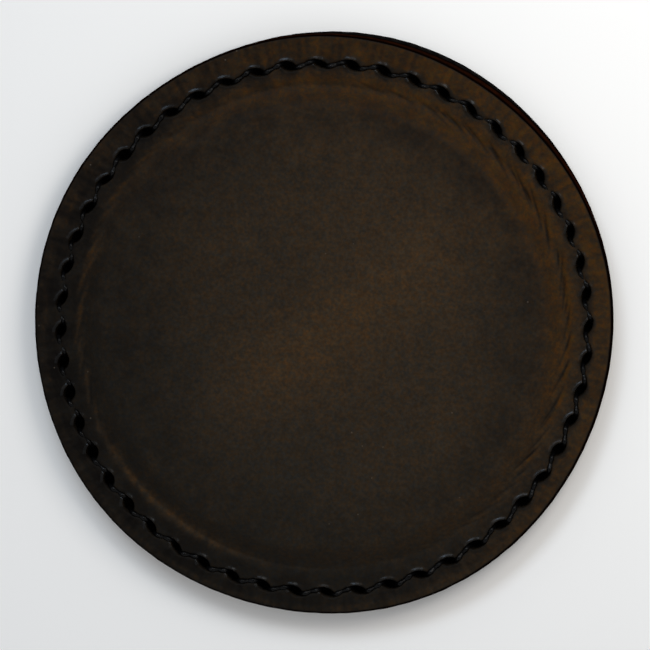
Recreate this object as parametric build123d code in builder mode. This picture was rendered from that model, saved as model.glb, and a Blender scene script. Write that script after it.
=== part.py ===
from build123d import *
import os
from math import atan2, cos, degrees, hypot, pi, radians, sin

# A round sewn leather coaster: two leather discs stitched together round a stiff board
# and a thin felt pad. Millimetres, +Z up. The origin is the centre of the flat underside.

# Driving dimensions
STITCH_COUNT = 52
STITCH_PITCH = 5.0
EDGE_MARGIN = 4.1

FACE_THICKNESS = 2.0
BACK_THICKNESS = 1.8
FACE_EDGE_ROUND = 0.6
BACK_EDGE_ROUND = 0.4

BOARD_RADIUS = 36.2
BOARD_THICKNESS = 1.6
BOARD_EDGE_ROUND = 0.8
FELT_RADIUS = 35.4
FELT_THICKNESS = 1.0
EDGE_DROP = 0.5

FLAT_RADIUS = 27.0
SHOULDER_RADIUS = 34.9
CREASE_RADIUS = 38.2
CAVITY_FOOT_RADIUS = 37.4
SHOULDER_ROUND = 4.0
CREASE_ROUND = 1.5

THREAD_DIAMETER = 0.8
THREAD_BEND_RADIUS = 0.45
THREAD_CLEARANCE = 0.02
LANE_RADIAL = 0.45
LANE_TANGENTIAL = 0.75
SLIT_WIDTH = 1.0
GROOVE_WIDTH = 2.0
FACE_GROOVE_DEPTH = 0.4
BACK_GROOVE_DEPTH = 0.9
THREAD_END_GAP = 0.1

# Levels and radii that follow from them
stitch_radius = STITCH_COUNT * STITCH_PITCH / (2 * pi)
disc_radius = stitch_radius + EDGE_MARGIN
flange_top = BACK_THICKNESS + FACE_THICKNESS
board_top = BACK_THICKNESS + BOARD_THICKNESS
felt_top = board_top + FELT_THICKNESS
felt_rim = felt_top - EDGE_DROP
face_top = felt_top + FACE_THICKNESS
shoulder_top = face_top - EDGE_DROP
groove_inner = stitch_radius - GROOVE_WIDTH / 2
groove_outer = stitch_radius + GROOVE_WIDTH / 2
thread_radius = THREAD_DIAMETER / 2
face_thread_level = flange_top - FACE_GROOVE_DEPTH + THREAD_CLEARANCE + thread_radius
back_thread_level = THREAD_CLEARANCE + thread_radius
slit_separation = 2 * hypot(LANE_RADIAL, LANE_TANGENTIAL)
slit_slant = degrees(atan2(LANE_TANGENTIAL, LANE_RADIAL))


def seam_point(hole, tangential, radial, level):
    """A point beside a hole: tangential counts counter-clockwise, and radial outwards."""
    angle = radians(360 / STITCH_COUNT) * hole
    reach = stitch_radius + radial
    x = reach * cos(angle) - tangential * sin(angle)
    y = reach * sin(angle) + tangential * cos(angle)
    return (x, y, level)


def strand_route(first_hole):
    """Corners of one strand, which runs on the face and on the back by turns.

    Every slit slants, so its early end, met first going counter-clockwise, is its inner end,
    and its late end is its outer end. On the back, two strands lie side by side at each slit.
    """
    early, late = -LANE_TANGENTIAL, LANE_TANGENTIAL
    inner, outer = -LANE_RADIAL, LANE_RADIAL
    middle = (face_thread_level + back_thread_level) / 2
    route = [seam_point(first_hole, late, outer, middle + THREAD_END_GAP / 2)]
    for hole in range(first_hole, first_hole + STITCH_COUNT, 2):
        route.append(seam_point(hole, late, outer, face_thread_level))
        route.append(seam_point(hole + 1, early, inner, face_thread_level))
        route.append(seam_point(hole + 1, early, inner, back_thread_level))
        route.append(seam_point(hole + 1, late, inner, back_thread_level))
        route.append(seam_point(hole + 2, early, outer, back_thread_level))
        route.append(seam_point(hole + 2, late, outer, back_thread_level))
    route.append(seam_point(first_hole, late, outer, middle - THREAD_END_GAP / 2))
    return route


os.makedirs("parts", exist_ok=True)

# The ring of slanted slits that a pricking iron leaves, shared by both leathers
with BuildSketch() as stitch_slits:
    with PolarLocations(stitch_radius, STITCH_COUNT):
        SlotCenterToCenter(slit_separation, SLIT_WIDTH, rotation=slit_slant)

# Back leather: a flat disc with a groove that keeps the stitches off the table
with BuildPart() as back_cover:
    with BuildSketch():
        Circle(disc_radius)
    extrude(amount=BACK_THICKNESS)
    lower_rim = back_cover.faces().sort_by(Axis.Z)[0].edges()
    fillet(lower_rim, BACK_EDGE_ROUND)
    with BuildSketch():
        Circle(groove_outer)
        Circle(groove_inner, mode=Mode.SUBTRACT)
    extrude(amount=BACK_GROOVE_DEPTH, mode=Mode.SUBTRACT)
    extrude(stitch_slits.sketch, amount=BACK_THICKNESS, mode=Mode.SUBTRACT)
back_cover.part.label = "back_cover"
export_step(back_cover.part, "parts/back_cover.step")

# Stiff board in the middle, whose edge raises the face
with BuildPart() as core_board:
    with BuildSketch(Plane.XY.offset(BACK_THICKNESS)):
        Circle(BOARD_RADIUS)
    extrude(amount=BOARD_THICKNESS)
    upper_rim = core_board.faces().sort_by(Axis.Z)[-1].edges()
    fillet(upper_rim, BOARD_EDGE_ROUND)
core_board.part.label = "core_board"
export_step(core_board.part, "parts/core_board.step")

# Felt pad on the board, flat in the middle and thinned towards its rim
with BuildPart() as felt_pad:
    with BuildSketch(Plane.XZ):
        with BuildLine():
            Line((0, felt_top), (FLAT_RADIUS, felt_top))
            TangentArc((FLAT_RADIUS, felt_top), (FELT_RADIUS, felt_rim), tangent=(1, 0))
            Polyline((FELT_RADIUS, felt_rim), (FELT_RADIUS, board_top), (0, board_top), (0, felt_top))
        make_face()
    revolve()
felt_pad.part.label = "felt_pad"
export_step(felt_pad.part, "parts/felt_pad.step")

# Face leather: a flat flange, a crease at the foot of the board's edge and a raised middle
with BuildPart() as face_cover:
    with BuildSketch(Plane.XZ) as face_section:
        with BuildLine():
            Line((0, face_top), (FLAT_RADIUS, face_top))
            TangentArc((FLAT_RADIUS, face_top), (SHOULDER_RADIUS, shoulder_top), tangent=(1, 0))
            Polyline(
                (SHOULDER_RADIUS, shoulder_top),
                (CREASE_RADIUS, flange_top),
                (disc_radius, flange_top),
                (disc_radius, BACK_THICKNESS),
                (CAVITY_FOOT_RADIUS, BACK_THICKNESS),
                (FELT_RADIUS, felt_rim),
            )
            TangentArc((FLAT_RADIUS, felt_top), (FELT_RADIUS, felt_rim), tangent=(1, 0))
            Polyline((FLAT_RADIUS, felt_top), (0, felt_top), (0, face_top))
        make_face()
        crease_corner = face_section.vertices().sort_by_distance((CREASE_RADIUS, flange_top))[0]
        fillet(crease_corner, CREASE_ROUND)
        shoulder_corner = face_section.vertices().sort_by_distance((SHOULDER_RADIUS, shoulder_top))[0]
        fillet(shoulder_corner, SHOULDER_ROUND)
        rim_corner = face_section.vertices().sort_by_distance((disc_radius, flange_top))[0]
        fillet(rim_corner, FACE_EDGE_ROUND)
    revolve()
    with BuildSketch(Plane.XY.offset(flange_top)):
        Circle(groove_outer)
        Circle(groove_inner, mode=Mode.SUBTRACT)
    extrude(amount=-FACE_GROOVE_DEPTH, mode=Mode.SUBTRACT)
    extrude(stitch_slits.sketch, amount=flange_top, mode=Mode.SUBTRACT)
face_cover.part.label = "face_cover"
export_step(face_cover.part, "parts/face_cover.step")

# The seam's two strands, each crossing from face to back at every slit
for strand_name, first_hole in (("seam_strand_a", 0), ("seam_strand_b", 1)):
    with BuildPart() as strand:
        with BuildLine() as route:
            FilletPolyline(strand_route(first_hole), radius=THREAD_BEND_RADIUS)
        with BuildSketch(Plane(route.line @ 0, z_dir=route.line % 0)):
            Circle(thread_radius)
        sweep()
    strand.part.label = strand_name
    export_step(strand.part, f"parts/{strand_name}.step")
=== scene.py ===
import math

import bpy
import numpy as np
from mathutils import Matrix, Vector


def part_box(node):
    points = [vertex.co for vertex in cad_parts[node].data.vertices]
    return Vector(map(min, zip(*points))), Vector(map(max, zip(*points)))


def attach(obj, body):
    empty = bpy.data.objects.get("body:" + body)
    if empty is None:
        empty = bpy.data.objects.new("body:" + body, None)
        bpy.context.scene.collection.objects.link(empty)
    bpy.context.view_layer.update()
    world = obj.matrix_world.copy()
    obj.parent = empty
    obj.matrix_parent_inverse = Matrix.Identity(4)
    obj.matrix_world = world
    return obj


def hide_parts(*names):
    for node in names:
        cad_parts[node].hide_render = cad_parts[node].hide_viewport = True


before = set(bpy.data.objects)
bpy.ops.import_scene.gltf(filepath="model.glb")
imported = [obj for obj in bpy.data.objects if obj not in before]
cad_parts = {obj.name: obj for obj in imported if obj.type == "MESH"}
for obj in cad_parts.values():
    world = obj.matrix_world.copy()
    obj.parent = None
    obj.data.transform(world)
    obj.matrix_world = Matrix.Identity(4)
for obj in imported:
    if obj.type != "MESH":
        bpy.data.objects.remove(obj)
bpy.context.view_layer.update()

# ---- Sizes ----
# Shapes are worked out in millimetres and written to meshes in metres. Angles count
# counter-clockwise from +X: grids of angles in radians, places round the rim in degrees.
MM = 0.001

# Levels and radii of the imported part
face_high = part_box("face_cover")[1]
back_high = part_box("back_cover")[1]
felt_low, felt_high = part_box("felt_pad")
board_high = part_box("core_board")[1]
FACE_THICKNESS = 2.0
RIM_RADIUS = face_high.x / MM
FACE_TOP = face_high.z / MM
LAYER_LEVEL = back_high.z / MM
FLANGE_TOP = LAYER_LEVEL + FACE_THICKNESS
FELT_TOP = felt_high.z / MM
FELT_BASE = felt_low.z / MM
FELT_RADIUS = felt_high.x / MM
BOARD_RADIUS = board_high.x / MM

# The seam. From the middle of each slit, radial counts outwards and tangential along the seam.
STITCHES = 52
STITCH_PITCH = 5.0
SEAM_RADIUS = STITCHES * STITCH_PITCH / (2 * math.pi)
LANE_RADIAL = 0.45
LANE_TANGENTIAL = 0.75
ENTRY_RADIAL = 0.52
ENTRY_TANGENTIAL = 0.98
THREAD_RADIUS = 0.35

# The slits: their slant, half length, half width and floors. The iron pushed up a lip, highest in
# the direction LIP_SIDE, and a stitch's bed is this deep where it isn't drawn in further.
SLIT_RADIAL = 0.36
SLIT_TANGENTIAL = 0.80
SLIT_REACH = 1.28
SLIT_HALF_WIDTH = 0.66
SLIT_FLOOR = LAYER_LEVEL + 0.15
BACK_SLIT_FLOOR = LAYER_LEVEL - 0.2
LIP_HEIGHT = 0.27
LIP_SIDE = (-0.60, 0.80)
BED_DEPTH = 0.50

# How far from its middle each slit, stitch bed, pull mark and inner tail is worked out
SLIT_NEAR = 3.6
BED_NEAR = 4.8
MARK_NEAR = 3.5
TAIL_NEAR = 3.2

# Gaps that keep the layers from touching: leather on leather, and leather over felt
LAYER_GAP = 0.01
FELT_GAP = 0.02

# The raised middle: a flat centre, a soft roll-off, a step down to the crease. All of it is
# shifted a little towards +Y.
FLAT_RADIUS = 27.0
ROLL_OFF = 0.5
SHOULDER_RADIUS = BOARD_RADIUS - 1.8
CREASE_RADIUS = BOARD_RADIUS + 1.9
CREASE_SHIFT = 0.28

# The paint for stretch runs from 0 to 1, and unstretched leather has this value
NO_STRETCH = 0.25

# The cut edge, hand cut a little off centre and out of round: each wave's count, size and phase.
# Both leathers keep EDGE_INSET inside it, but for the back leather's ledge.
OUTLINE_SHIFT = 0.7
OUTLINE_WAVES = ((2, 0.20, 129), (3, 0.19, 169), (5, 0.12, 32))
EDGE_INSET = 0.10
FACE_EDGE_ROUND = 0.45
BACK_EDGE_ROUND = 0.38

# Where the back leather stands out past the face leather, and where the face's cut slants
BACK_LEDGE = 0.42
BACK_LEDGE_AT = 70
BACK_LEDGE_WIDTH = 42
CUT_SLANT = 0.50
CUT_SLANT_AT = 52
CUT_SLANT_WIDTH = 48

# The camera looks almost straight down, leaning towards the upper right. Metres and radians.
TILT = math.radians(6)
TILT_TOWARDS = math.radians(45)
CAMERA_DISTANCE = 1.2
CAMERA_ROLL = math.radians(0.7)
CAMERA_TARGET = (0.00025, OUTLINE_SHIFT * MM - 0.0001, FLANGE_TOP * MM)
VIEW_WIDTH = 0.1016
SENSOR_WIDTH = 36.0

# The sky's strength at the sides and straight above, and the heights between which it changes
SKY_SIDES = 0.62
SKY_TOP = 0.36
SKY_FADE = (0.50, 0.92)
FLOOR_HALF_WIDTH = 4.0
FLOOR_GAP = 0.00002

rng = np.random.default_rng(52)


# ---- Small maths helpers ----
def smooth(t):
    """0 to 1 with a level start and end."""
    t = np.clip(t, 0, 1)
    return t * t * (3 - 2 * t)


def bell(x, width):
    return np.exp(-((x / width) ** 2))


def turn_between(a, b):
    """Signed angle from b to a in degrees, from -180 to 180."""
    return (a - b + 180) % 360 - 180


def lobe(angle, centre, half_width):
    """A smooth bump round a direction, in degrees."""
    d = np.abs(turn_between(np.degrees(angle), centre))
    return np.where(d < half_width, 0.5 + 0.5 * np.cos(math.pi * d / half_width), 0)


def waves(angle, seed, counts, sizes):
    """A smooth wander round the circle: a few whole waves with random phases."""
    local = np.random.default_rng(seed)
    total = np.zeros_like(angle)
    for count, size in zip(counts, sizes):
        total = total + size * np.cos(count * angle + local.uniform(0, 2 * math.pi))
    return total


def outline(angle):
    """Radius of the cut edge from the coaster's axis."""
    radius = RIM_RADIUS + OUTLINE_SHIFT * np.sin(angle)
    for count, size, phase in OUTLINE_WAVES:
        radius = radius + size * np.cos(count * angle - math.radians(phase))
    return radius


def seam_radius(angle):
    """Radius of the seam, which wanders a little."""
    return SEAM_RADIUS + waves(angle, 7, (2, 3, 5), (0.06, 0.05, 0.04))


# ---- Meshes made of rings round the axis ----
# The painted attribute: stretch, oil, cut and gloss in its red, green, blue and alpha. The stretch
# also carries painted light, and the oil also carries painted shade.
PAINT = "leather_paint"

# Columns of points lie close together near each slit and further apart between two slits
FINE_REACH = 1.9
FINE_COLUMNS = 19
WIDE_COLUMNS = 3
COARSE_STEP = 4
pitch_offsets = np.concatenate([
    np.linspace(-FINE_REACH, FINE_REACH, FINE_COLUMNS),
    np.linspace(FINE_REACH, STITCH_PITCH - FINE_REACH, WIDE_COLUMNS + 2)[1:-1],
])
holes = np.arange(STITCHES)
column_angles = ((holes[:, None] * STITCH_PITCH + pitch_offsets[None, :]) / SEAM_RADIUS).ravel()
coarse_angles = column_angles[::COARSE_STEP]


def ring(radius, height, angles, stretch=0, oil_and_shade=0, cut=0, gloss=0):
    """One closed row of points and its paint: all may vary with the angle."""
    values = (radius, height, stretch, oil_and_shade, cut, gloss)
    radius, height, *paint = [np.broadcast_to(value, angles.shape) for value in values]
    points = np.stack([radius * np.cos(angles), radius * np.sin(angles), height], axis=1)
    return points, np.stack(paint, axis=1)


def ring_faces(first, count, second, next_count):
    """Faces between two neighbouring rings, one of which may be a few times finer."""
    faces = []
    coarse, fine = min(count, next_count), max(count, next_count)
    step = fine // coarse
    for j in range(coarse):
        k = (j + 1) % coarse
        span = [(j * step + s) % fine for s in range(step + 1)]
        if count <= next_count:
            faces.append([first + j] + [second + s for s in span] + [first + k])
        else:
            faces.append([first + s for s in reversed(span)] + [second + j, second + k])
    return faces


def add_object(name, data):
    """Puts a mesh, camera or light into the scene."""
    thing = bpy.data.objects.new(name, data)
    bpy.context.scene.collection.objects.link(thing)
    return thing


def make_object(name, points, faces, paints=None):
    """A smooth mesh from points in millimetres, with a row of paint for each point."""
    mesh = bpy.data.meshes.new(name)
    mesh.from_pydata((np.asarray(points) * MM).tolist(), [], faces)
    mesh.polygons.foreach_set("use_smooth", [True] * len(mesh.polygons))
    if paints is not None:
        layer = mesh.color_attributes.new(PAINT, "FLOAT_COLOR", "POINT")
        layer.data.foreach_set("color", np.clip(paints, 0, 1).astype(np.float32).ravel())
    mesh.validate()
    mesh.update()
    return add_object(name, mesh)


def closed_disc(name, top_centre, rings, bottom_centre):
    """A closed piece from a point on top, over rings round the rim, to a point below."""
    points = [top_centre]
    paints = [rings[0][1].mean(axis=0).tolist()]
    faces = []
    starts = []
    for ring_points, ring_paint in rings:
        starts.append(len(points))
        points.extend(ring_points.tolist())
        paints.extend(ring_paint.tolist())
    last = len(points)
    points.append(bottom_centre)
    paints.append((0, 0, 0, 0))
    counts = [len(ring_points) for ring_points, _ in rings]
    for j in range(counts[0]):
        faces.append((0, starts[0] + j, starts[0] + (j + 1) % counts[0]))
    for i in range(len(rings) - 1):
        faces.extend(ring_faces(starts[i], counts[i], starts[i + 1], counts[i + 1]))
    for j in range(counts[-1]):
        faces.append((last, starts[-1] + (j + 1) % counts[-1], starts[-1] + j))
    return make_object(name, points, faces, np.array(paints))


# ---- What the stitching does to the leather ----
def stroke_coordinates(x, y, start, end):
    """Position along a straight stroke, 0 to 1, and signed distance from its line."""
    direction = np.array(end) - np.array(start)
    length = math.hypot(*direction)
    direction = direction / length
    along = ((x - start[0]) * direction[0] + (y - start[1]) * direction[1]) / length
    across = (y - start[1]) * direction[0] - (x - start[0]) * direction[1]
    return along, across


def polar_point(radius, angle):
    return radius * math.cos(angle), radius * math.sin(angle)


def seam_point(hole, tangential, radial):
    """A point beside a hole: tangential counts counter-clockwise, and radial outwards."""
    angle = hole * STITCH_PITCH / SEAM_RADIUS
    reach = float(seam_radius(np.array(angle))) + radial
    return (
        reach * math.cos(angle) - tangential * math.sin(angle),
        reach * math.sin(angle) + tangential * math.cos(angle),
    )


def early_end(hole):
    """Where the thread enters at the slit's inner end, met first going counter-clockwise."""
    return seam_point(hole, -ENTRY_TANGENTIAL, -ENTRY_RADIAL)


def late_end(hole):
    """Where the thread enters at the slit's outer end."""
    return seam_point(hole, ENTRY_TANGENTIAL, ENTRY_RADIAL)


def halfway(start, end):
    return (start[0] + end[0]) / 2, (start[1] + end[1]) / 2


hole_angles = holes * STITCH_PITCH / SEAM_RADIUS
lip_size = np.random.default_rng(71).uniform(0.80, 1.10, STITCHES)
lip_size += 0.30 * lobe(hole_angles, 318, 60) - 0.20 * lobe(hole_angles, 35, 45)
slit_openness = 1 + 0.10 * rng.standard_normal(STITCHES) + 0.30 * lobe(hole_angles, 200, 50)
pull_strength = rng.uniform(0.5, 1.0, STITCHES)


class Surface:
    """A grid of points being shaped: its place, height and paint."""

    def __init__(self, radius, angle):
        self.radius = radius
        self.angle = angle
        self.x = radius * np.cos(angle)
        self.y = radius * np.sin(angle)
        self.z = np.zeros(radius.shape)
        self.stretch = np.zeros(self.z.shape)
        self.oil_and_shade = np.zeros(self.z.shape)
        self.gloss = np.zeros(self.z.shape)

    def near(self, point, reach):
        """Indices of the grid points within reach of a point, and their places."""
        close = np.nonzero((self.x - point[0]) ** 2 + (self.y - point[1]) ** 2 < reach * reach)
        return close, self.x[close], self.y[close]

    def near_stroke(self, start, end, reach):
        """The same round a stroke's middle: indices, and places along and across the stroke."""
        close, x, y = self.near(halfway(start, end), reach)
        return close, *stroke_coordinates(x, y, start, end)

    def darken(self, close, oil_and_shade):
        """Brings the oil and painted shade at some points up to at least the given values."""
        self.oil_and_shade[close] = np.maximum(self.oil_and_shade[close], oil_and_shade)

    def row(self, i):
        """One ring's paint, ready for ring()."""
        return {"stretch": self.stretch[i], "oil_and_shade": self.oil_and_shade[i], "gloss": self.gloss[i]}


def press_slits(surface, floor_level, up, lip_height):
    """Slits drawn open into ovals, in a surface facing up (1) or down (-1).

    The leaning iron pushed up a lip, mostly on one side of each slit, and the thread polished it.
    """
    for hole in range(STITCHES):
        inner = seam_point(hole, -SLIT_TANGENTIAL, -SLIT_RADIAL)
        outer = seam_point(hole, SLIT_TANGENTIAL, SLIT_RADIAL)
        close, x, y = surface.near(seam_point(hole, 0, 0), SLIT_NEAR)
        along, across = stroke_coordinates(x, y, inner, outer)
        along = (along - 0.5) * 2 * math.hypot(SLIT_TANGENTIAL, SLIT_RADIAL)
        from_middle = np.hypot(along, across) + 1e-6

        # How far outside the oval a point is, and how much it is on the lip's side, from -1 to 1
        half_width = SLIT_HALF_WIDTH * slit_openness[hole]
        q = np.hypot(along / SLIT_REACH, across / half_width) + 1e-6
        out = (1 - 1 / q) * from_middle
        middle_x, middle_y = seam_point(hole, 0, 0)
        side = (LIP_SIDE[0] * (x - middle_x) + LIP_SIDE[1] * (y - middle_y)) / from_middle

        raised = smooth((side + 0.15) / 0.75)
        lip = lip_height * (0.25 + 0.75 * raised) * lip_size[hole]
        surface.z[close] += up * lip * np.clip((0.66 - out) / 0.62, 0, 1)
        pit = smooth((0.07 - out) / 0.24)
        surface.z[close] = surface.z[close] * (1 - pit) + floor_level * pit
        surface.darken(close, 0.78 * smooth((0.90 - out) / 0.80))
        polish = smooth((0.80 - out) / 0.25) * smooth((side - 0.15) / 0.40)
        surface.gloss[close] = np.maximum(surface.gloss[close], polish)
        surface.stretch[close] *= 1 - 0.8 * smooth((0.80 - out) / 0.40)


def tight_stitches(hole):
    """How tight a face stitch is at the left and at the upper right, each from 0 to 1."""
    angle = np.array((hole + 0.5) * STITCH_PITCH / SEAM_RADIUS)
    return float(lobe(angle, 180, 65)), float(lobe(angle, 30, 60))


def stitch_sink(hole):
    """How much deeper than the others a face stitch is drawn into the leather."""
    left, right = tight_stitches(hole)
    return 0.20 * left + 0.14 * right


def press_bed(surface, hole):
    """The groove that a face stitch presses into the leather, which closes over a tight one."""
    start, end = late_end(hole), early_end(hole + 1)
    depth = BED_DEPTH + stitch_sink(hole)
    cover = sum(tight_stitches(hole))
    close, along, across = surface.near_stroke(start, end, BED_NEAR)
    length = math.hypot(end[0] - start[0], end[1] - start[1])
    past_ends = np.maximum(np.maximum(-along, along - 1), 0) * length
    d = np.hypot(past_ends, across)
    buried = bell(along - 0.5, 0.24)
    narrow = (0.08 + 0.34 * cover) * buried
    surface.z[close] -= depth * (1 + 0.4 * buried) * smooth((0.42 - narrow - d) / 0.22)
    surface.z[close] += 0.05 * bell(d - 0.62, 0.30)
    surface.darken(close, 0.9 * smooth((0.50 - 0.06 * buried - 0.8 * narrow - d) / 0.26))


# ---- Face leather ----
def crease_coordinate(x, y, angle):
    """Distance from the raised middle's own centre, with the crease's wander taken out: rho."""
    return np.hypot(x, y - CREASE_SHIFT) - waves(angle, 11, (2, 3, 4, 7), (0.12, 0.10, 0.08, 0.06))


def raised_profile(rho):
    roll = ROLL_OFF * smooth((rho - FLAT_RADIUS) / (BOARD_RADIUS - FLAT_RADIUS))
    step = (FACE_TOP - ROLL_OFF - FLANGE_TOP) * smooth(
        (rho - SHOULDER_RADIUS) / (CREASE_RADIUS - SHOULDER_RADIUS)
    )
    return FACE_TOP - roll - step


def underside_profile(rho):
    rise = FELT_TOP + FELT_GAP - LAYER_LEVEL
    return LAYER_LEVEL + rise * (1 - smooth((rho - SHOULDER_RADIUS - 0.2) / 3.0))


def wrinkle_strength(angle):
    """How deep the slanting wrinkles at the crease are, round the circle."""
    right = np.minimum(1.8 * lobe(angle, 10, 92), 1)
    left = 0.75 * lobe(angle, 175, 55)
    return np.maximum(right, left) + 0.08


def add_wrinkles(surface):
    """Slanting wrinkles where the flange turns up into the raised middle."""
    local = np.random.default_rng(23)
    for k in range(STITCHES * 2):
        angle = (k / 2 + local.uniform(-0.22, 0.22)) * STITCH_PITCH / SEAM_RADIUS
        strength = float(wrinkle_strength(np.array(angle)))
        main = k % 2 == 0
        depth = strength * local.uniform(0.6, 1.0) * (0.11 if main else 0.06)
        length = local.uniform(6.0, 8.5) if main else local.uniform(3.0, 5.0)
        drop = length * math.tan(math.radians(local.uniform(11, 16)))
        radius = CREASE_RADIUS + local.uniform(-0.25, 0.35)
        half_turn = length / 2 / radius
        start_x, start_y = polar_point(radius - drop / 2, angle - half_turn)
        end_x, end_y = polar_point(radius + drop / 2, angle + half_turn)
        start = (start_x, start_y + CREASE_SHIFT)
        end = (end_x, end_y + CREASE_SHIFT)
        close, along, across = surface.near_stroke(start, end, length)
        taper = smooth(1 - np.abs(along * 2 - 1)) ** 0.5
        bow = across - 0.25 * (along - 0.5) ** 2
        groove = taper * bell(bow, 0.16)
        ridge = taper * bell(bow + 0.42, 0.30)
        surface.z[close] += depth * (0.45 * ridge - groove)
        # Painted shade darkens the grooves, most on the right; on the left the ridges are painted
        # lighter as painted highlights
        lit_ridge_side = float(lobe(np.array(angle), 165, 75))
        surface.oil_and_shade[close] += 0.34 * (1 - lit_ridge_side) * strength * groove - 0.12 * lit_ridge_side * ridge
        surface.stretch[close] += (0.35 * strength + 0.28 * lit_ridge_side) * ridge


def add_pull_marks(surface):
    """Marks that each tight stitch pulls across the flange, out to the edge and inwards."""
    for hole in range(STITCHES):
        angle = hole * STITCH_PITCH / SEAM_RADIUS
        low = float(lobe(np.array(angle), 262, 75))
        strength = pull_strength[hole] * (0.20 + 0.80 * low)
        start = seam_point(hole, 0.35, 0.3)
        end_angle = angle + math.radians(rng.uniform(-0.8, 1.2))
        end = polar_point(float(outline(np.array(angle))), end_angle)
        close, along, across = surface.near_stroke(start, end, MARK_NEAR)
        fade = smooth((along + 0.15) / 0.15) * (1 - 0.55 * np.clip(along, 0, 1))
        groove = fade * bell(across, 0.16)
        surface.z[close] -= 0.13 * strength * groove
        surface.darken(close, 0.8 * strength * groove)
        tail = float(lobe(np.array(angle), 248, 48)) * rng.uniform(0.5, 1.0)
        if tail > 0.1:
            inner = seam_point(hole, 0.25, -0.2)
            tip = polar_point(SEAM_RADIUS - 2.6, angle + math.radians(rng.uniform(0.1, 0.7)))
            close, x, y = surface.near(inner, TAIL_NEAR)
            along, across = stroke_coordinates(x, y, inner, tip)
            groove = smooth(1.2 - along) * (along > 0) * bell(across, 0.26)
            surface.z[close] -= 0.16 * tail * groove
            surface.darken(close, tail * groove)


class Zones:
    """Parts of the face that its paint refers to: 0 to about 1, and for the streaks from -1."""

    def __init__(self, surface, rho):
        angle, radius = surface.angle, surface.radius
        # The upper right, where the stretch paint makes the leather lighter and more orange as
        # painted light
        self.lit_side = lobe(angle, 45, 130)
        # Everything but the upper right, most of all the left, which the oil paint darkens as
        # painted shade
        self.shaded_side = lobe(angle, 195, 150)
        self.flange = smooth((radius - seam_radius(angle) - 0.3) / 0.8)
        self.inner_flange = (1 - self.flange) * smooth((rho - CREASE_RADIUS) / 0.8)
        self.outer_edge = smooth((radius - 43.1) / 0.8) * lobe(angle, 225, 130)
        self.streaks = waves(angle, 41, (131, 167, 211, 263), (0.3, 0.3, 0.25, 0.2))
        # A painted sheen: a soft lighter band across the middle from lower left to upper right,
        # painted darker beside it
        along, across = stroke_coordinates(surface.x, surface.y, (-21.5, -15.5), (26.5, 16.5))
        self.sheen_band = bell(across, 6.5) * bell(along - 0.55, 0.50)
        self.beside_sheen_band = (1 - bell(across, 9.0)) * bell(rho, 20.0)
        self.arc_wear = np.clip(0.85 + waves(angle, 43, (57, 83, 119), (0.16, 0.14, 0.12)), 0, 1)
        self.rubs = np.clip(waves(angle, 47, (19, 31, 47), (0.6, 0.5, 0.4)), 0, 1)


def shape_face(surface, rho, zones):
    """The crease, the swelling beside it, the dip along the seam and the flange's unevenness."""
    angle, off_seam = surface.angle, surface.radius - seam_radius(surface.angle)
    surface.z += raised_profile(rho)
    surface.z -= (0.04 + 0.10 * lobe(angle, 235, 60)) * bell(rho - CREASE_RADIUS, 0.30)
    surface.z += 0.06 * bell(rho - CREASE_RADIUS - 1.5, 0.9)
    surface.z -= 0.10 * bell(off_seam, 1.0)
    ripple = waves(angle, 31, (9, 14, 23), (0.02, 0.02, 0.015))
    surface.z += ripple * smooth((surface.radius - 37) / 2)
    surface.z += zones.flange * 0.018 * zones.streaks


def stretch_face(surface, rho, zones):
    """Paint where stretching or rubbing has turned the leather orange, and painted light: lighter,
    more orange leather on the lit upper right and along the sheen band.

    Each line is a patch: how much, how far from the axis or the crease, and where round the rim.
    """
    angle, from_crease = surface.angle, rho - CREASE_RADIUS

    def add(amount, share):
        surface.stretch += amount * share

    add(-0.27, lobe(angle, 250, 132) * smooth((rho - 8) / 14))
    # The shoulder is painted orange a little all round and much more on the lit upper right:
    # partly stretched leather, partly painted light
    add(0.92, bell(from_crease + 1.7, 2.6) * (0.10 + 0.90 * zones.lit_side))
    add(0.22, bell(rho - 31, 3.5) * lobe(angle, 65, 90))
    add(0.70, zones.arc_wear * bell(from_crease - 0.3, 0.95) * lobe(angle, 230, 40))
    add(0.12, bell(from_crease + 0.3, 0.9) * lobe(angle, 95, 50))
    add(0.20, bell(from_crease + 1.0, 1.4) * lobe(angle, 125, 75))

    add(0.24, zones.sheen_band)
    add(-0.16, zones.beside_sheen_band)

    streaked = np.clip(0.85 + 0.22 * zones.streaks, 0, 1.1)
    # The flange is painted orange in streaks, mostly on the lit upper right, where it is partly
    # painted light
    add(1.0, zones.flange * streaked * (0.05 + 0.95 * zones.lit_side))
    add(0.24, zones.flange * lobe(angle, 95, 65))
    add(0.20, zones.flange * lobe(angle, 140, 55))
    add(0.38, zones.flange * lobe(angle, 312, 50))
    add(0.80, zones.rubs * bell(surface.radius - 43.7, 0.45) * lobe(angle, 168, 42))
    add(0.34, zones.outer_edge)
    add(0.25, zones.inner_flange * lobe(angle, 95, 50))
    # More painted light inside the seam on the lit upper right
    add(0.50, zones.inner_flange * zones.lit_side)


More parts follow.
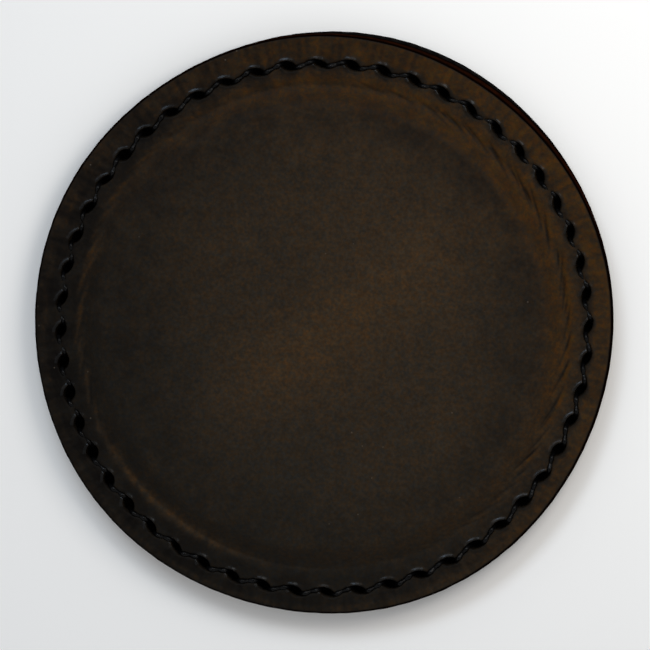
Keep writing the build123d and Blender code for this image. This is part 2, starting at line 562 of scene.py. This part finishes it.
def paint_oil_and_shade(surface, rho, zones):
    """Paint that darkens the leather, the middle first, then the flange: oil and grime, and
    painted shade that darkens it towards the crease and round the left, and leaves it lighter
    towards the upper right.
    """
    angle, from_crease = surface.angle, rho - CREASE_RADIUS
    surface.oil_and_shade += 0.13 * zones.beside_sheen_band
    # A paler patch in the middle towards the lower right: painted light where a fill light would
    # fall
    fill_light_patch = smooth((rho - 7) / 5) * (1 - smooth((rho - 27) / 6)) * lobe(angle, 300, 70)
    surface.oil_and_shade -= 0.10 * fill_light_patch

    middle = (0.37 - 0.12 * lobe(angle, 95, 80)) * smooth((rho - 18) / 15)
    middle += 0.16 * smooth((rho - 12) / 12) * zones.shaded_side
    middle += 0.16 * bell(rho - 33.6, 2.6) * lobe(angle, 50, 110)
    middle += 0.12 * smooth((rho - 31) / 4) * lobe(angle, 40, 95)
    middle -= 0.24 * smooth((rho - 11) / 9) * lobe(angle, 262, 95)
    middle += 0.20 * bell(rho - 36.0, 2.0) * lobe(angle, 115, 95)
    middle += 0.12 * smooth((rho - 27) / 5) * lobe(angle, 90, 95)
    middle -= 0.13 * bell(rho - 36.3, 1.3) * lobe(angle, 310, 80)

    flange = 0.43 + 0.57 * zones.shaded_side - 0.10 * zones.streaks * zones.flange
    flange += 0.15 * lobe(angle, 90, 85) + 0.05 * lobe(angle, 15, 60)
    flange += 0.08 * zones.flange * lobe(angle, 315, 50)
    flange -= 0.17 * zones.outer_edge + 0.20 * (1 - zones.flange) * lobe(angle, 230, 100)

    outwards = smooth((rho - 36.0) / 3.2)
    rubbed_arc = zones.arc_wear * bell(from_crease - 0.3, 0.80) * lobe(angle, 230, 38)
    surface.oil_and_shade += (middle * (1 - outwards) + flange * outwards) * (1 - 0.55 * rubbed_arc)
    surface.oil_and_shade -= 0.11 * bell(rho - 38.2, 1.3) * (1 - lobe(angle, 40, 60))
    surface.oil_and_shade += 0.26 * bell(surface.radius - seam_radius(angle), 0.95) * lobe(angle, 35, 110)
    surface.oil_and_shade = np.maximum(surface.oil_and_shade, 0)


def face_surface(radius, angle):
    """Height and paint of the face at every grid point."""
    surface = Surface(radius, angle)
    rho = crease_coordinate(surface.x, surface.y, angle)
    zones = Zones(surface, rho)
    shape_face(surface, rho, zones)
    stretch_face(surface, rho, zones)
    paint_oil_and_shade(surface, rho, zones)
    add_wrinkles(surface)
    add_pull_marks(surface)
    for hole in range(STITCHES):
        press_bed(surface, hole)
    press_slits(surface, SLIT_FLOOR, 1, LIP_HEIGHT)
    surface.stretch = NO_STRETCH + (1 - NO_STRETCH) * surface.stretch
    return surface


def add_grid(rings, radii, angles, work_out):
    """Adds a ring for every row of radii to a piece's rings, shaped and painted by work_out."""
    surface = work_out(radii, np.broadcast_to(angles[None, :], radii.shape))
    for i in range(len(radii)):
        rings.append(ring(radii[i], surface.z[i], angles, **surface.row(i)))
    return surface


def face_edge_rings(top_edge, low_edge, surface):
    """The face leather's rounded top edge and its cut wall, down to the back leather."""
    rings = []
    edge_z, edge_stretch, edge_oil_and_shade = surface.z[-1], surface.stretch[-1], surface.oil_and_shade[-1]
    steps = 6
    for step in range(1, steps + 1):
        turn = step / steps * math.pi / 2
        radius = top_edge - FACE_EDGE_ROUND + FACE_EDGE_ROUND * math.sin(turn)
        height = edge_z - FACE_EDGE_ROUND * (1 - math.cos(turn))
        dark = np.maximum(edge_oil_and_shade, smooth(step / 1.5))
        stretch = edge_stretch * (1 - step / steps)
        cut = 1 if step >= 2 else 0
        rings.append(ring(radius, height, column_angles, stretch, dark, cut))
    wall_top = edge_z - FACE_EDGE_ROUND
    wall_low = LAYER_LEVEL + 0.16
    wobble = waves(column_angles, 51, (37, 61, 89, 143), (0.012, 0.012, 0.01, 0.008))
    for step in range(1, steps + 1):
        share = step / steps
        bulge = (0.05 + wobble) * math.sin(math.pi * share)
        radius = top_edge + (low_edge - top_edge) * share + bulge
        height = wall_top + (wall_low - wall_top) * share
        # The cut wall is painted near black towards its foot, and all the way up round 3 degrees,
        # where the near black is painted shade on the side turned from the light
        dark_wall = np.maximum(lobe(column_angles, 3, 34), smooth((share - 0.48) / 0.30))
        dark = np.maximum(0.45 * (1 - share) ** 2, dark_wall)
        rings.append(ring(radius, height, column_angles, 0, dark, 1))
    rings.append(ring(low_edge - 0.14, LAYER_LEVEL + LAYER_GAP, column_angles, 0, 1, 1))
    return rings


def make_face_leather():
    ledge = BACK_LEDGE * lobe(column_angles, BACK_LEDGE_AT, BACK_LEDGE_WIDTH)
    low_edge = outline(column_angles) - ledge
    slant = CUT_SLANT * lobe(column_angles, CUT_SLANT_AT, CUT_SLANT_WIDTH)
    top_edge = low_edge - EDGE_INSET - slant

    # Rings lie closest together at the crease and over the seam
    inner_radii = np.arange(1.5, 34.0, 1.5)
    outer_radii = np.concatenate([
        np.arange(34.2, 36.2, 0.3),
        np.arange(36.3, 39.7, 0.15),
        np.arange(39.8, 42.9, 0.15),
        np.arange(43.1, RIM_RADIUS - FACE_EDGE_ROUND, 0.26),
    ])
    blend_start = 42.9

    # Rings past the seam follow the outline more and more
    share = smooth((outer_radii - blend_start) / (outer_radii[-1] - blend_start))
    shift = top_edge - FACE_EDGE_ROUND - outer_radii[-1]
    outer_grid = outer_radii[:, None] + share[:, None] * shift[None, :]
    inner_grid = np.broadcast_to(inner_radii[:, None], (len(inner_radii), len(coarse_angles)))

    rings = []
    add_grid(rings, inner_grid, coarse_angles, face_surface)
    surface = add_grid(rings, outer_grid, column_angles, face_surface)
    rings.extend(face_edge_rings(top_edge, low_edge, surface))
    for radius in (44, 42, 40, *np.arange(38.6, 33.8, -0.6), 30, 20, 10, 2):
        rings.append(ring(radius, underside_profile(radius) + LAYER_GAP, coarse_angles))
    underside_centre = (0, 0, FELT_TOP + FELT_GAP + LAYER_GAP)
    return closed_disc("face_leather", (0, 0, FACE_TOP), rings, underside_centre)


CUT_SLOT, WALL_SLOT, LIP_SLOT = 1, 2, 3


def finish_cut_edge(piece):
    """The cut edge gets its own material."""
    paint = piece.data.color_attributes[PAINT].data
    for polygon in piece.data.polygons:
        if all(paint[v].color[2] > 0.45 for v in polygon.vertices):
            polygon.material_index = CUT_SLOT


def finish_slits(piece):
    """The walls inside the face's slits and the slits' polished lips get their own materials."""
    vertices = piece.data.vertices
    paint = piece.data.color_attributes[PAINT].data
    pit_low, pit_high = (LAYER_LEVEL + 0.10) * MM, (FLANGE_TOP - 0.45) * MM
    for polygon in piece.data.polygons:
        if any(paint[v].color[2] > 0.05 for v in polygon.vertices):
            continue
        if all(pit_low < vertices[v].co.z < pit_high for v in polygon.vertices):
            polygon.material_index = WALL_SLOT
        elif all(paint[v].color[3] > 0.5 for v in polygon.vertices):
            polygon.material_index = LIP_SLOT


# ---- Back leather ----
# The sunk ring that the back stitches lie in
SUNK_DEPTH = 0.86
SUNK_HALF_WIDTH = 1.25


def back_surface(radius, angle):
    """Height and paint of the underside, with its sunk ring and slits."""
    off = np.abs(radius - seam_radius(angle))
    surface = Surface(radius, angle)
    surface.z += SUNK_DEPTH * smooth((SUNK_HALF_WIDTH - off) / 0.40)
    surface.stretch += 0.25 * bell(off - 1.2, 0.3)
    surface.oil_and_shade += 0.35 * smooth((1.2 - off) / 0.4)
    press_slits(surface, BACK_SLIT_FLOOR, -1, 0.0)
    surface.z = np.maximum(surface.z, 0)
    return surface


def make_back_leather():
    tuck = 1 - lobe(column_angles, BACK_LEDGE_AT, BACK_LEDGE_WIDTH * 1.6)
    edge = outline(column_angles) - EDGE_INSET * tuck
    rings = []
    for radius in (10, 25, 38, 43):
        rings.append(ring(radius, LAYER_LEVEL - LAYER_GAP, coarse_angles))
    rings.append(ring(edge - 1.0, LAYER_LEVEL - LAYER_GAP, column_angles, cut=1))
    ledge_top, ledge_round = LAYER_LEVEL - 0.02, 0.2
    rings.append(ring(edge - 0.30, ledge_top, column_angles, cut=1))
    for step in range(1, 4):
        turn = step / 3 * math.pi / 2
        radius = edge - ledge_round * (1 - math.sin(turn))
        height = ledge_top - ledge_round * (1 - math.cos(turn))
        rings.append(ring(radius, height, column_angles, cut=1))
    wobble = waves(column_angles, 52, (31, 67, 97, 151), (0.012, 0.012, 0.01, 0.008))
    wall_top, wall_low = ledge_top - ledge_round, BACK_EDGE_ROUND
    for step in range(1, 5):
        share = step / 5
        radius = edge + (0.04 + wobble) * math.sin(math.pi * share)
        rings.append(ring(radius, wall_top + (wall_low - wall_top) * share, column_angles, cut=1))
    for step in range(0, 6):
        turn = step / 5 * math.pi / 2
        radius = edge - BACK_EDGE_ROUND * (1 - math.cos(turn))
        height = BACK_EDGE_ROUND * (1 - math.sin(turn))
        rings.append(ring(radius, height, column_angles, cut=1 - step / 5))
    radii = (*np.arange(43.9, 43.2, -0.25), *np.arange(43.0, 39.7, -0.15), 39.4, 38.8)
    inside_edge = edge - BACK_EDGE_ROUND - 0.05
    grid = np.minimum(np.array(radii)[:, None], inside_edge[None, :])
    add_grid(rings, grid, column_angles, back_surface)
    for radius in np.arange(37.0, 1.0, -2.0):
        rings.append(ring(radius, 0.0, coarse_angles))
    return closed_disc("back_leather", (0, 0, LAYER_LEVEL - LAYER_GAP), rings, (0, 0, 0))


# ---- Thread ----
PLIES = 3
PLY_TWIST = 2.4
THREAD_SIDES = 15
SAMPLES_PER_KNOT = 5

# Levels of the thread's middle: on the face, on the back, and at both ends of its way through
FACE_THREAD = FLANGE_TOP - 0.15
BACK_THREAD = THREAD_RADIUS + 0.03
BELOW_FACE = FLANGE_TOP - 1.8
ABOVE_BACK = 1.20

# A face stitch: share of the way from slit to slit, and how far below FACE_THREAD it runs there
ENTRY_DROP = 0.95
STITCH_RISE = ((0.09, 0.42), (0.16, 0.10), (0.24, -0.04), (0.37, 0.20), (0.50, 0.40))
STITCH_FALL = ((0.63, 0.20), (0.76, -0.04), (0.84, 0.10), (0.91, 0.42))


def strand_knots(first_hole):
    """Points that a strand passes through, on the face and on the back by turns."""
    local = np.random.default_rng(60 + first_hole)
    knots = []

    def add(point, height):
        knots.append((point[0], point[1], height))

    def between(a, b, share):
        return (a[0] + (b[0] - a[0]) * share, a[1] + (b[1] - a[1]) * share)

    for hole in range(first_hole, first_hole + STITCHES, 2):
        rise, land = late_end(hole), early_end(hole + 1)
        lift = local.uniform(-0.04, 0.06) - stitch_sink(hole)
        add(rise, BELOW_FACE)
        add(between(rise, land, 0.02), FACE_THREAD - ENTRY_DROP)
        for share, drop in STITCH_RISE + STITCH_FALL:
            add(between(rise, land, share), FACE_THREAD - drop + lift)
        add(between(rise, land, 0.98), FACE_THREAD - ENTRY_DROP)
        add(land, BELOW_FACE)
        add(land, ABOVE_BACK)
        beside = seam_point(hole + 1, LANE_TANGENTIAL, -LANE_RADIAL)
        ahead = seam_point(hole + 2, -LANE_TANGENTIAL, LANE_RADIAL)
        rise = late_end(hole + 2)
        add(between(land, beside, 0.25), BACK_THREAD + 0.05)
        add(beside, BACK_THREAD)
        add(between(beside, ahead, 0.5), BACK_THREAD)
        add(ahead, BACK_THREAD)
        add(between(ahead, rise, 0.75), BACK_THREAD + 0.05)
        add(rise, ABOVE_BACK)
    return np.array(knots)


def closed_curve(knots, samples):
    """A smooth closed curve through the knots, Catmull-Rom, with even samples per span."""
    before, after, far = np.roll(knots, 1, 0), np.roll(knots, -1, 0), np.roll(knots, -2, 0)
    t = (np.arange(samples) / samples)[None, :, None]
    a, b, c, d = before[:, None], knots[:, None], after[:, None], far[:, None]
    curve = 0.5 * (
        2 * b
        + (c - a) * t
        + (2 * a - 5 * b + 4 * c - d) * t**2
        + (3 * b - a - 3 * c + d) * t**3
    )
    return curve.reshape(-1, 3)


def unit(vectors):
    return vectors / np.linalg.norm(vectors, axis=1)[:, None]


def make_strand(name, first_hole):
    """A strand of three twisted plies, which swells and thins a little along its way."""
    path = closed_curve(strand_knots(first_hole), SAMPLES_PER_KNOT)
    count = len(path)
    tangent = unit(np.roll(path, -1, 0) - np.roll(path, 1, 0))
    outward = unit(path * (1, 1, 0))
    side = unit(outward - tangent * np.sum(outward * tangent, axis=1)[:, None])
    other = np.cross(tangent, side)
    travelled = np.concatenate([[0], np.cumsum(np.linalg.norm(np.diff(path, axis=0), axis=1))])
    whole = travelled[-1] + np.linalg.norm(path[0] - path[-1])
    turns = round(whole / PLY_TWIST)
    twist = travelled / whole * turns * 2 * math.pi
    around = np.arange(THREAD_SIDES) / THREAD_SIDES * 2 * math.pi
    way_round = travelled / whole * 2 * math.pi
    swell = 1 + 0.05 * waves(way_round, 70 + first_hole, (41, 97, 173), (0.5, 0.4, 0.4))
    lobes = 1 + 0.085 * np.cos(PLIES * (around[None, :] - twist[:, None] / PLIES))
    size = THREAD_RADIUS * swell[:, None] * lobes
    points = (
        path[:, None, :]
        + side[:, None, :] * (size * np.cos(around))[..., None]
        + other[:, None, :] * (size * np.sin(around))[..., None]
    ).reshape(-1, 3)
    points[:, 2] = np.maximum(points[:, 2], 0.01)
    faces = []
    for i in range(count):
        first, following = i * THREAD_SIDES, (i + 1) % count * THREAD_SIDES
        faces.extend(ring_faces(first, THREAD_SIDES, following, THREAD_SIDES))
    return make_object(name, points, faces)


# ---- Felt pad ----
FELT_SIDES = 240


def make_felt():
    """The felt, a hair smaller than the CAD's all round, with a fuzzy top and rim."""
    angles = np.linspace(0, 2 * math.pi, FELT_SIDES, endpoint=False)
    fuzz = np.random.default_rng(80)
    top, base = FELT_TOP - 0.04, FELT_BASE + 0.02
    edge_height = FELT_TOP - ROLL_OFF * 0.96
    rings = []
    for radius in np.arange(2.0, FELT_RADIUS - 1.0, 2.0):
        drop = ROLL_OFF * float(smooth((radius - FLAT_RADIUS) / (BOARD_RADIUS - FLAT_RADIUS)))
        rings.append(ring(radius, top - drop - fuzz.uniform(0, 0.04, FELT_SIDES), angles))
    middle = (edge_height + FELT_BASE) / 2
    half = (edge_height - FELT_BASE) / 2
    for step in range(7):
        turn = math.pi / 2 - step / 6 * math.pi
        radius = FELT_RADIUS - 0.15 - 0.12 * (1 - math.cos(turn))
        radius = radius - fuzz.uniform(0, 0.06, FELT_SIDES)
        rings.append(ring(radius, middle + (half - 0.02) * math.sin(turn), angles))
    for radius in (30.0, 20.0, 10.0):
        rings.append(ring(radius, base, angles))
    return closed_disc("felt_disc", (0, 0, top), rings, (0, 0, base))


# ---- Materials ----
def map_range(tree, value, *limits):
    """A smooth step: limits are where it starts and ends, and its results there."""
    node = tree.nodes.new("ShaderNodeMapRange")
    node.interpolation_type = "SMOOTHSTEP"
    tree.links.new(value, node.inputs["Value"])
    for socket, limit in zip(("From Min", "From Max", "To Min", "To Max"), limits):
        node.inputs[socket].default_value = limit
    return node.outputs["Result"]


class Nodes:
    """A material and short ways to add linked nodes to it."""

    def __init__(self, name):
        self.material = bpy.data.materials.new(name)
        self.material.use_nodes = True
        self.tree = self.material.node_tree
        self.shader = self.tree.nodes["Principled BSDF"]
        coordinates = self.tree.nodes.new("ShaderNodeTexCoord")
        self.place = coordinates.outputs["Object"]

    def link(self, source, target):
        self.tree.links.new(source, target)

    def noise(self, scale, detail=4.0, roughness=0.55, distortion=0.0, stretch=None):
        node = self.tree.nodes.new("ShaderNodeTexNoise")
        node.inputs["Scale"].default_value = scale
        node.inputs["Detail"].default_value = detail
        node.inputs["Roughness"].default_value = roughness
        node.inputs["Distortion"].default_value = distortion
        if stretch is None:
            self.link(self.place, node.inputs["Vector"])
        else:
            mapping = self.tree.nodes.new("ShaderNodeMapping")
            mapping.inputs["Scale"].default_value = stretch
            self.link(self.place, mapping.inputs["Vector"])
            self.link(mapping.outputs["Vector"], node.inputs["Vector"])
        return node.outputs["Fac"]

    def cells(self, scale):
        """Distance from the middle of the nearest cell."""
        node = self.tree.nodes.new("ShaderNodeTexVoronoi")
        node.inputs["Scale"].default_value = scale
        self.link(self.place, node.inputs["Vector"])
        return node.outputs["Distance"]

    def remap(self, value, low, high, to_low=0.0, to_high=1.0):
        return map_range(self.tree, value, low, high, to_low, to_high)

    def math(self, operation, first, second):
        node = self.tree.nodes.new("ShaderNodeMath")
        node.operation = operation
        for socket, value in zip(node.inputs, (first, second)):
            if isinstance(value, (int, float)):
                socket.default_value = value
            else:
                self.link(value, socket)
        return node.outputs["Value"]

    def times(self, first, second):
        return self.math("MULTIPLY", first, second)

    def total(self, *values):
        """Sum of sockets and numbers, added one after the other."""
        result = values[0]
        for value in values[1:]:
            result = self.math("ADD", result, value)
        return result

    def mix(self, factor, first, second, blend="MIX"):
        node = self.tree.nodes.new("ShaderNodeMix")
        node.data_type = "RGBA"
        node.blend_type = blend
        sockets = [s for s in node.inputs if s.type == "RGBA"]
        for socket, value in zip(sockets, (first, second)):
            if isinstance(value, tuple):
                socket.default_value = (*value, 1.0)
            else:
                self.link(value, socket)
        if isinstance(factor, (int, float)):
            node.inputs[0].default_value = factor
        else:
            self.link(factor, node.inputs[0])
        return [s for s in node.outputs if s.type == "RGBA"][0]

    def tinted(self, colour, factor, first, second):
        """A colour multiplied by something between two tints."""
        return self.mix(1.0, colour, self.mix(factor, first, second), "MULTIPLY")

    def paint(self):
        """The sockets of the painted stretch, oil and gloss; the stretch carries painted light
        too, and the oil painted shade.
        """
        node = self.tree.nodes.new("ShaderNodeAttribute")
        node.attribute_name = PAINT
        parts = self.tree.nodes.new("ShaderNodeSeparateColor")
        self.link(node.outputs["Color"], parts.inputs["Color"])
        return parts.outputs["Red"], parts.outputs["Green"], node.outputs["Alpha"]

    def finish(self, colour, roughness, specular):
        """Gives the shader its colour, its roughness and its constant specular level."""
        self.link(colour, self.shader.inputs["Base Color"])
        if isinstance(roughness, float):
            self.shader.inputs["Roughness"].default_value = roughness
        else:
            self.link(roughness, self.shader.inputs["Roughness"])
        self.shader.inputs["Specular IOR Level"].default_value = specular
        return self.material

    def bump(self, height, strength, distance, below=None):
        """Bumps on the shader's surface, on top of those already there if they are given."""
        node = self.tree.nodes.new("ShaderNodeBump")
        node.inputs["Strength"].default_value = strength
        node.inputs["Distance"].default_value = distance
        self.link(height, node.inputs["Height"])
        if below is not None:
            self.link(below, node.inputs["Normal"])
        self.link(node.outputs["Normal"], self.shader.inputs["Normal"])
        return node.outputs["Normal"]


# Specular levels of the face leather and of the slits' polished lips
FACE_SHINE = 0.06
LIP_SHINE = 0.17


def face_leather_material(name, shine):
    """Oiled pull-up leather: dark and cloudy, orange-brown where stretching or rubbing turned it
    and where painted light lies, darker under painted shade.
    """
    m = Nodes(name)
    stretch, oil_and_shade, gloss = m.paint()
    clouds = m.remap(m.noise(38, 5, 0.6, 0.4), 0.34, 0.68)
    mottle = m.remap(m.noise(260, 4, 0.65, 0.3), 0.30, 0.72)
    patches = m.remap(m.noise(620, 4, 0.65, 0.2), 0.34, 0.68)
    flecks = m.remap(m.noise(1700, 3, 0.6), 0.34, 0.68)

    # How far the leather is turned orange-brown: by stretching and wear, and by the painted light
    # and painted shade in the stretch and oil paint
    cloudy = m.total(m.times(clouds, 0.10), m.times(mottle, 0.06), m.times(patches, 0.07))
    rub_and_light = m.total(cloudy, m.times(flecks, 0.12), 0.235)
    signed = m.math("SUBTRACT", stretch, NO_STRETCH)
    rub_and_light = m.total(rub_and_light, m.times(signed, 0.85 / (1 - NO_STRETCH)))
    rub_and_light = m.math("SUBTRACT", rub_and_light, m.times(oil_and_shade, 0.40))
    uneven = m.total(patches, flecks, -1.0)
    rub_and_light = m.total(rub_and_light, m.times(m.times(signed, uneven), 0.22))
    colour = m.mix(m.remap(rub_and_light, -0.1, 0.75), (0.0160, 0.0130, 0.0094), (0.0380, 0.0228, 0.0112))
    colour = m.mix(m.remap(rub_and_light, 0.50, 1.15), colour, (0.0600, 0.0262, 0.0044))

    # Fine unevenness in hue and in brightness
    fine = m.remap(m.noise(2300, 3, 0.7), 0.34, 0.66)
    colour = m.tinted(colour, fine, (0.86, 1.0, 1.20), (1.14, 1.0, 0.78))
    less_fine = m.remap(m.noise(800, 3, 0.6), 0.34, 0.66)
    colour = m.tinted(colour, less_fine, (0.91, 1.0, 1.12), (1.09, 1.0, 0.88))
    depth = m.total(m.times(flecks, 0.5), m.times(patches, 0.3), m.times(mottle, 0.2))
    colour = m.tinted(colour, depth, (0.78, 0.78, 0.78), (1.22, 1.22, 1.22))

    # Grime and painted shade on top, from the oil paint, and a few pale specks of dust
    grime_and_shade = m.times(oil_and_shade, m.remap(mottle, 0.0, 1.0, 1.04, 0.72))
    colour = m.mix(grime_and_shade, colour, (0.0031, 0.0020, 0.0012))
    speck = m.math("LESS_THAN", m.cells(400), 0.050)
    rare = m.math("GREATER_THAN", m.noise(60, 1), 0.60)
    colour = m.mix(m.times(m.times(speck, rare), 0.4), colour, (0.10, 0.08, 0.06))

    rough = m.remap(m.total(mottle, flecks), 0.5, 1.4, 0.58, 0.72)
    rough = m.math("SUBTRACT", rough, m.times(gloss, 0.36))
    m.shader.inputs["Specular Tint"].default_value = (0.75, 0.87, 1.0, 1.0)
    grain = m.math("SUBTRACT", 1.0, m.times(gloss, 0.88))
    pebbles = m.math("SUBTRACT", m.cells(1300), 0.5)
    wrinkle = m.math("SUBTRACT", m.noise(520, 5, 0.65, 0.5), 0.5)
    pebbled = m.bump(m.times(pebbles, grain), 0.35, 0.00014)
    m.bump(m.times(wrinkle, grain), 0.35, 0.00028, pebbled)
    return m.finish(colour, rough, shine)


def burnished_edge_material():
    """The cut edge of the face leather: red-brown fibres, dyed, waxed and burnished."""
    m = Nodes("burnished_edge")
    oil_and_shade = m.paint()[1]
    fibres = m.remap(m.noise(900, 5, 0.7, 0.6, (1.0, 1.0, 2.5)), 0.32, 0.68)
    patches = m.remap(m.noise(170, 3, 0.6), 0.35, 0.65)
    colour = m.mix(fibres, (0.0070, 0.0017, 0.0006), (0.0155, 0.0038, 0.0012))
    colour = m.mix(m.times(patches, 0.40), colour, (0.0040, 0.0014, 0.0007))
    colour = m.mix(m.remap(oil_and_shade, 0.30, 0.95, 0.0, 0.95), colour, (0.0012, 0.0005, 0.0003))
    m.bump(fibres, 0.45, 0.00012)
    return m.finish(colour, m.remap(fibres, 0.0, 1.0, 0.62, 0.80), 0.0)


def slit_shade_material():
    """The walls inside the slits: raw leather painted near black, as painted shade deep in the
    slits.
    """
    m = Nodes("slit_shade_walls")
    fibres = m.noise(1500, 4, 0.65)
    colour = m.mix(m.remap(fibres, 0.35, 0.70), (0.0004, 0.0003, 0.0003), (0.0014, 0.0010, 0.0009))
    m.bump(fibres, 0.4, 0.00010)
    return m.finish(colour, 0.9, 0.01)


def back_leather_material():
    """Plain black leather with a fine grain, paler beside the sunk ring and darker inside it."""
    m = Nodes("back_leather")
    stretch, oil_and_shade, _ = m.paint()
    clouds = m.remap(m.noise(60, 4, 0.6, 0.3), 0.35, 0.68)
    colour = m.mix(clouds, (0.0075, 0.0072, 0.0076), (0.0140, 0.0135, 0.0138))
    colour = m.mix(m.times(stretch, 0.6), colour, (0.026, 0.025, 0.025))
    colour = m.mix(m.times(oil_and_shade, 0.8), colour, (0.0022, 0.0022, 0.0024))
    pebbled = m.bump(m.cells(1250), 0.35, 0.00012)
    m.bump(m.noise(480, 4, 0.6, 0.4), 0.30, 0.00020, pebbled)
    return m.finish(colour, m.remap(m.noise(700, 3, 0.6), 0.3, 0.7, 0.42, 0.62), 0.15)


def black_edge_material():
    """The cut edge of the back leather: dry black fibres."""
    m = Nodes("black_edge")
    fibres = m.remap(m.noise(900, 4, 0.65), 0.35, 0.7)
    colour = m.mix(fibres, (0.0025, 0.0023, 0.0022), (0.0070, 0.0064, 0.0060))
    m.bump(fibres, 0.45, 0.00012)
    return m.finish(colour, 0.9, 0.0)


def thread_material():
    """Black waxed thread: fine fibres under a smooth waxy shine."""
    m = Nodes("waxed_thread")
    fibres = m.noise(3800, 3, 0.6)
    wax = m.remap(m.noise(900, 3, 0.5), 0.35, 0.7)
    colour = m.mix(wax, (0.0013, 0.0013, 0.0015), (0.0028, 0.0028, 0.0032))
    m.bump(fibres, 0.35, 0.00004)
    return m.finish(colour, m.remap(fibres, 0.3, 0.7, 0.24, 0.33), 0.11)


def felt_material():
    """Grey wool felt."""
    m = Nodes("felt")
    tufts = m.noise(1400, 5, 0.7, 0.6)
    colour = m.mix(m.remap(tufts, 0.3, 0.7), (0.055, 0.053, 0.050), (0.14, 0.135, 0.13))
    m.bump(tufts, 0.8, 0.0004)
    return m.finish(colour, 0.95, 0.2)


def board_material():
    """Pressed fibreboard with long, flat fibres."""
    m = Nodes("board")
    fibres = m.noise(900, 5, 0.65, 0.8, (1.0, 0.35, 3.0))
    flecks = m.remap(m.cells(420), 0.05, 0.35)
    colour = m.mix(m.remap(fibres, 0.3, 0.7), (0.13, 0.095, 0.060), (0.26, 0.20, 0.135))
    colour = m.mix(m.times(flecks, 0.35), colour, (0.19, 0.15, 0.10))
    m.bump(fibres, 0.5, 0.00015)
    return m.finish(colour, 0.85, 0.25)


def floor_material():
    m = Nodes("floor")
    tone = m.mix(m.remap(m.noise(3, 3, 0.5), 0.3, 0.7), (0.90, 0.90, 0.90), (0.92, 0.92, 0.92))
    return m.finish(tone, 0.9, 0.1)


# ---- Camera, floor and lights ----
def look_at(thing, place, target, up=(0, 1, 0)):
    """Puts a camera or light at a place, facing a target, with its picture's top towards up."""
    back = (Vector(place) - Vector(target)).normalized()
    right = Vector(up).cross(back).normalized()
    top = back.cross(right)
    thing.location = place
    thing.rotation_mode = "QUATERNION"
    thing.rotation_quaternion = Matrix((right, top, back)).transposed().to_quaternion()


def make_camera():
    data = bpy.data.cameras.new("camera")
    data.sensor_width = SENSOR_WIDTH
    data.lens = SENSOR_WIDTH * CAMERA_DISTANCE / VIEW_WIDTH
    camera = add_object("camera", data)
    target = Vector(CAMERA_TARGET)
    lean = Vector((math.cos(TILT_TOWARDS), math.sin(TILT_TOWARDS), 0)) * math.sin(TILT)
    place = target + (lean + Vector((0, 0, math.cos(TILT)))) * CAMERA_DISTANCE
    look_at(camera, place, target, up=(math.sin(CAMERA_ROLL), math.cos(CAMERA_ROLL), 0))
    data.clip_start = 0.01
    data.clip_end = 20
    bpy.context.scene.camera = camera


def area_light(name, place, size, power, colour):
    """A soft box that faces the origin."""
    data = bpy.data.lights.new(name, "AREA")
    data.shape = "RECTANGLE"
    data.size, data.size_y = size
    data.energy = power
    data.color = colour
    look_at(add_object(name, data), place, (0, 0, 0), up=(0.1, 0.2, 1))


def make_sky():
    """Soft light from all round, with a dark patch straight above, as under a camera hood."""
    world = bpy.data.worlds.new("studio")
    world.use_nodes = True
    tree = world.node_tree
    coordinates = tree.nodes.new("ShaderNodeTexCoord")
    split = tree.nodes.new("ShaderNodeSeparateXYZ")
    tree.links.new(coordinates.outputs["Generated"], split.inputs["Vector"])
    strength = map_range(tree, split.outputs["Z"], *SKY_FADE, SKY_SIDES, SKY_TOP)
    background = tree.nodes["Background"]
    tree.links.new(strength, background.inputs["Strength"])
    background.inputs["Color"].default_value = (1.0, 1.0, 1.0, 1.0)
    bpy.context.scene.world = world


def make_studio():
    """A pale floor just under the coaster, the sky, a cool window and a small warm light."""
    mesh = bpy.data.meshes.new("floor")
    half = FLOOR_HALF_WIDTH
    corners = [(-half, -half, 0), (half, -half, 0), (half, half, 0), (-half, half, 0)]
    mesh.from_pydata(corners, [], [(0, 1, 2, 3)])
    mesh.materials.append(floor_material())
    floor = add_object("floor", mesh)
    floor.location.z = -FLOOR_GAP
    make_sky()
    area_light("window", (-0.20, 0.64, 0.59), (0.55, 0.22), 2.8, (0.78, 0.89, 1.0))
    area_light("key", (0.115, 0.100, 0.16), (0.12, 0.12), 0.19, (1.0, 0.94, 0.86))
    bpy.context.scene.view_settings.view_transform = "Standard"


# ---- Assembly ----
make_camera()
make_studio()

face = make_face_leather()
back = make_back_leather()
strand_a = make_strand("thread_strand_a", 0)
strand_b = make_strand("thread_strand_b", 1)
felt = make_felt()

thread = thread_material()
finishes = (
    (face, "face_cover", "face_leather", face_leather_material("face_leather", FACE_SHINE)),
    (back, "back_cover", "back_leather", back_leather_material()),
    (strand_a, "seam_strand_a", "waxed_thread", thread),
    (strand_b, "seam_strand_b", "waxed_thread", thread),
    (felt, "felt_pad", "felt", felt_material()),
)
for piece, node, slot, material in finishes:
    piece.data.materials.append(material)
    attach(piece, "root")
    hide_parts(node)

# Further materials, in the order of CUT_SLOT, WALL_SLOT and LIP_SLOT
face.data.materials.append(burnished_edge_material())
face.data.materials.append(slit_shade_material())
face.data.materials.append(face_leather_material("slit_lip", LIP_SHINE))
finish_cut_edge(face)
finish_slits(face)
back.data.materials.append(black_edge_material())
finish_cut_edge(back)

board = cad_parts["core_board"]
board.data.materials.clear()
board.data.materials.append(board_material())
